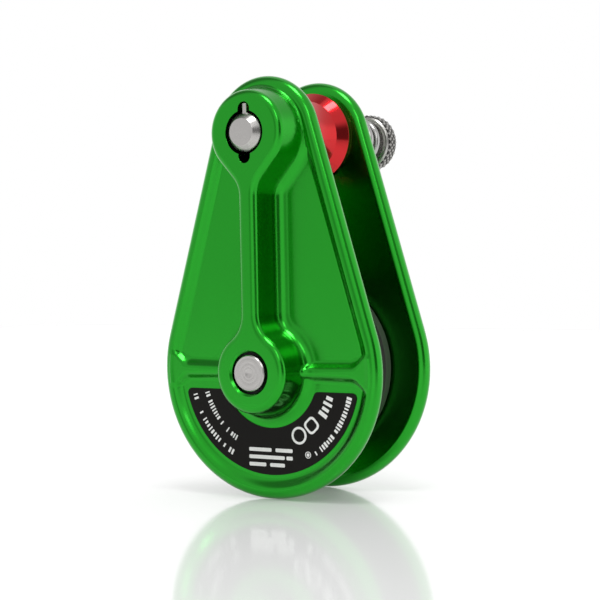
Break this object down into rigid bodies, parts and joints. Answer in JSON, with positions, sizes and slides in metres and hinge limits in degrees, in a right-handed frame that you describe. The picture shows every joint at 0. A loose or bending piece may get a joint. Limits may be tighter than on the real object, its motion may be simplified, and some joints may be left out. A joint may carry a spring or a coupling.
{
  "type": "rope pulley",
  "caption": "Rope pulley with two teardrop cheeks, a grooved sheave on an axle, a rope bollard above it and a spring-loaded locking pin with a knurled knob.",
  "frame": {"origin": "centre of the sheave, on the axle axis midway between the cheeks", "axes": "+Z from the axle up to the locking pin, +Y along the axle from the pin's tip side to its knob side"},
  "size_m": [0.0758, 0.0767, 0.1251],
  "materials": {
    "green_anodised": "bright green anodising over a polished surface",
    "red_anodised": "bright red anodising over a polished surface",
    "grey_anodised": "dark grey hard anodising, satin",
    "turned_stainless": "fine turned stainless steel",
    "knurled_stainless": "diamond knurled stainless steel",
    "spring_steel": "bright drawn spring steel",
    "black_oxide": "spring steel with a matt black oxide",
    "bronze": "oil-filled sintered bronze",
    "washer_plastic": "black acetal, matt",
    "black_label": "thin printed vinyl, semi-gloss black"
  },
  "bodies": {
    "frame": {"front_cheek": "green_anodised", "back_cheek": "green_anodised", "axle": "turned_stainless", "axle_ring_front": "black_oxide", "axle_ring_back": "black_oxide", "thrust_washer_front": "washer_plastic", "thrust_washer_back": "washer_plastic", "bollard": "red_anodised", "bollard_sleeve": "turned_stainless", "pin_guide": "turned_stainless", "front_label": "black_label", "back_label": "black_label"},
    "sheave": {"sheave": "grey_anodised", "sheave_bush_front": "bronze", "sheave_bush_back": "bronze"},
    "pin": {"locking_pin": "turned_stainless", "cross_pin": "turned_stainless", "knob": "knurled_stainless", "knob_pin": "turned_stainless", "spring_washer": "turned_stainless", "spring": "spring_steel"}
  },
  "joints": [
    {"name": "sheave_spin", "type": "hinge", "parent": "frame", "child": "sheave", "pos_m": [0, 0, 0], "axis": [0, 1, 0], "continuous": true},
    {"name": "pin_slide", "type": "slide", "parent": "frame", "child": "pin", "axis": [0, 1, 0], "range_m": [-0.0042, 0.0185], "stiffness_N_per_m": 900, "deforming": ["spring"]}
  ]
}
